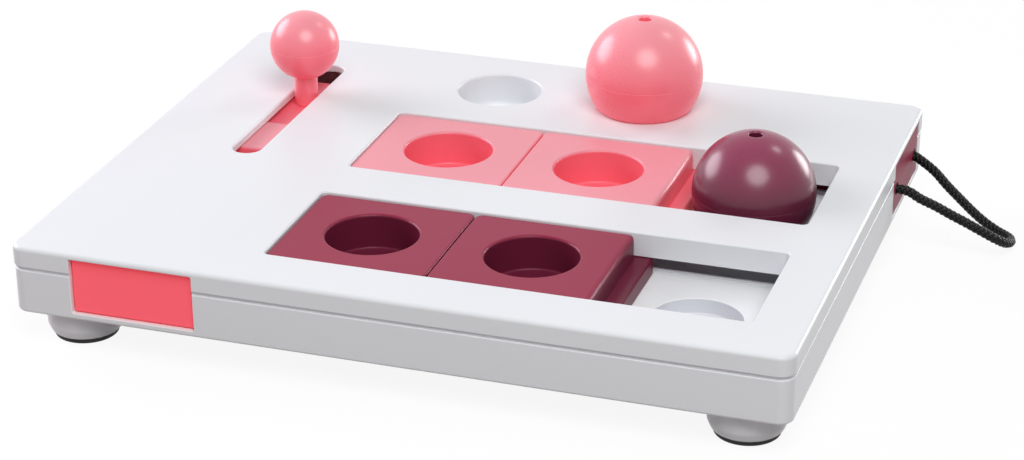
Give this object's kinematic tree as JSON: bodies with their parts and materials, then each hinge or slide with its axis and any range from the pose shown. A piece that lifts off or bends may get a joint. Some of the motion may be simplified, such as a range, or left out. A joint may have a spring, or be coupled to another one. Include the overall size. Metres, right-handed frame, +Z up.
{
  "type": "cat puzzle board",
  "caption": "Low rectangular treat board with sliding cups in tracks, bowls, lift-off domes, a drawer moved by a ball lever and a drawer pulled by a cord loop.",
  "frame": {"origin": "under the middle of the board, on the plane of the foot pads' undersides", "axes": "+X right along the long side, +Y to the rear, +Z up"},
  "size_m": [0.2889, 0.2, 0.0672],
  "materials": {
    "white_plastic": "satin moulded",
    "pink_plastic": "satin moulded",
    "maroon_plastic": "satin moulded",
    "rubber": "matte",
    "cord": "braided",
    "steel": "zinc plated"
  },
  "bodies": {
    "board": {"top_shell": "white_plastic", "bottom_shell": "white_plastic", "front_track_tray": "white_plastic", "middle_track_tray": "white_plastic", "treat_bowl_left": "white_plastic", "treat_bowl_right": "white_plastic", "foot_pad_front_left": "rubber", "foot_pad_front_right": "rubber", "foot_pad_rear_left": "rubber", "foot_pad_rear_right": "rubber", "housing_screws": "steel"},
    "maroon_slider_left": {"maroon_slider_left": "maroon_plastic"},
    "maroon_slider_right": {"maroon_slider_right": "maroon_plastic"},
    "pink_slider_left": {"pink_slider_left": "pink_plastic"},
    "pink_slider_right": {"pink_slider_right": "pink_plastic"},
    "pink_dome": {"pink_dome": "pink_plastic"},
    "maroon_dome": {"maroon_dome": "maroon_plastic"},
    "lever_drawer": {"lever_drawer": "pink_plastic", "lever_slide": "pink_plastic", "lever_knob": "pink_plastic", "lever_screw": "steel"},
    "cord_drawer": {"cord_drawer": "maroon_plastic", "pull_cord": "cord", "cord_knot_front": "cord", "cord_knot_rear": "cord"}
  },
  "joints": [
    {"name": "maroon_right_slide", "type": "slide", "parent": "board", "child": "maroon_slider_right", "axis": [1, 0, 0], "range_m": [0, 0.049]},
    {"name": "maroon_left_slide", "type": "slide", "parent": "board", "child": "maroon_slider_left", "axis": [1, 0, 0], "range_m": [0, 0.049]},
    {"name": "maroon_dome_lift", "type": "slide", "parent": "board", "child": "maroon_dome", "axis": [0, 0, 1], "range_m": [0, 0.12]},
    {"name": "pink_right_slide", "type": "slide", "parent": "board", "child": "pink_slider_right", "axis": [1, 0, 0], "range_m": [0, 0.049]},
    {"name": "pink_left_slide", "type": "slide", "parent": "board", "child": "pink_slider_left", "axis": [1, 0, 0], "range_m": [0, 0.049]},
    {"name": "pink_dome_lift", "type": "slide", "parent": "board", "child": "pink_dome", "axis": [0, 0, 1], "range_m": [0, 0.12]},
    {"name": "lever_drawer_slide", "type": "slide", "parent": "board", "child": "lever_drawer", "axis": [0, -1, 0], "range_m": [0, 0.052]},
    {"name": "cord_drawer_slide", "type": "slide", "parent": "board", "child": "cord_drawer", "axis": [1, 0, 0], "range_m": [0, 0.055]}
  ],
  "couplings": [
    {"joint": "maroon_left_slide", "follows": "maroon_right_slide", "ratio": 1},
    {"joint": "pink_right_slide", "follows": "maroon_dome_lift", "ratio": 0.4083},
    {"joint": "pink_left_slide", "follows": "maroon_dome_lift", "ratio": 0.4083}
  ]
}
